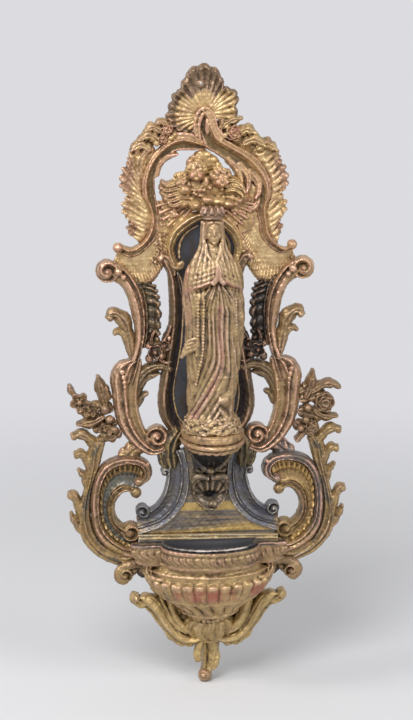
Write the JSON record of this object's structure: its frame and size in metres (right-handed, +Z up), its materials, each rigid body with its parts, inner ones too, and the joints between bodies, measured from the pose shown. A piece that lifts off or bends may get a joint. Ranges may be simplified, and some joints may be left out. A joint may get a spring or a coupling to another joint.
{
  "type": "holy water stoup",
  "caption": "Wall-hung holy water stoup with a gilt openwork scroll frame, a crowned praying figure before a dark niche, and a half-round basin with a lift-out liner.",
  "frame": {"origin": "on the back plate's rear face, which lies against the wall, on the frame's axis", "axes": "+X to the viewer's right, +Y into the wall, +Z up; the front faces -Y"},
  "size_m": [0.1576, 0.0395, 0.3518],
  "materials": {
    "gilt": "worn gilding over cast metal",
    "copper": "gilding worn to coppery red and brown",
    "patina": "dark grey-black patina",
    "liner": "dark tarnished sheet with a worn bright edge",
    "steel": "plain"
  },
  "bodies": {
    "stoup": {"back_plate": "patina", "niche_rail_left": "copper", "niche_rail_right": "copper", "side_scroll_left": "copper", "side_scroll_right": "copper", "crest_scroll_left": "copper", "crest_scroll_right": "copper", "arch_fringe_left": "gilt", "arch_fringe_right": "gilt", "crest_roses_left": "gilt", "crest_roses_right": "gilt", "fan_web_left": "gilt", "fan_web_right": "gilt", "ray_bundle_left": "gilt", "ray_bundle_right": "gilt", "side_leaf_left": "gilt", "side_leaf_right": "gilt", "ruffle_left": "patina", "ruffle_right": "patina", "inner_leaf_left": "gilt", "inner_leaf_right": "gilt", "inner_bloom_left": "copper", "inner_bloom_right": "copper", "flower_spray_left": "gilt", "flower_spray_right": "gilt", "c_scroll_left": "copper", "c_scroll_right": "copper", "c_rail_left": "gilt", "c_rail_right": "gilt", "c_shell_left": "patina", "c_shell_right": "patina", "outer_acanthus_left": "gilt", "outer_acanthus_right": "gilt", "console_scroll_left": "patina", "console_scroll_right": "patina", "basin_bracket_left": "gilt", "basin_bracket_right": "gilt", "base_acanthus_left": "gilt", "base_acanthus_right": "gilt", "basin_screw_left": "steel", "basin_screw_right": "steel", "niche_hood": "gilt", "crest_shell": "gilt", "cherub_glory": "gilt", "console_body": "patina", "console_corbel": "patina", "console_cartouche": "gilt", "figure_socle": "gilt", "virgin_figure": "gilt", "figure_crown": "copper", "figure_stud": "steel", "socle_screw": "steel", "basin_back": "patina", "basin_rim": "gilt", "basin_bowl": "gilt", "base_boss": "gilt", "pendant_leaf": "gilt"},
    "liner": {"basin_liner": "liner"}
  },
  "joints": [
    {"name": "liner_lift", "type": "slide", "parent": "stoup", "child": "liner", "axis": [0, 0, 1], "range_m": [0, 0.014]}
  ]
}
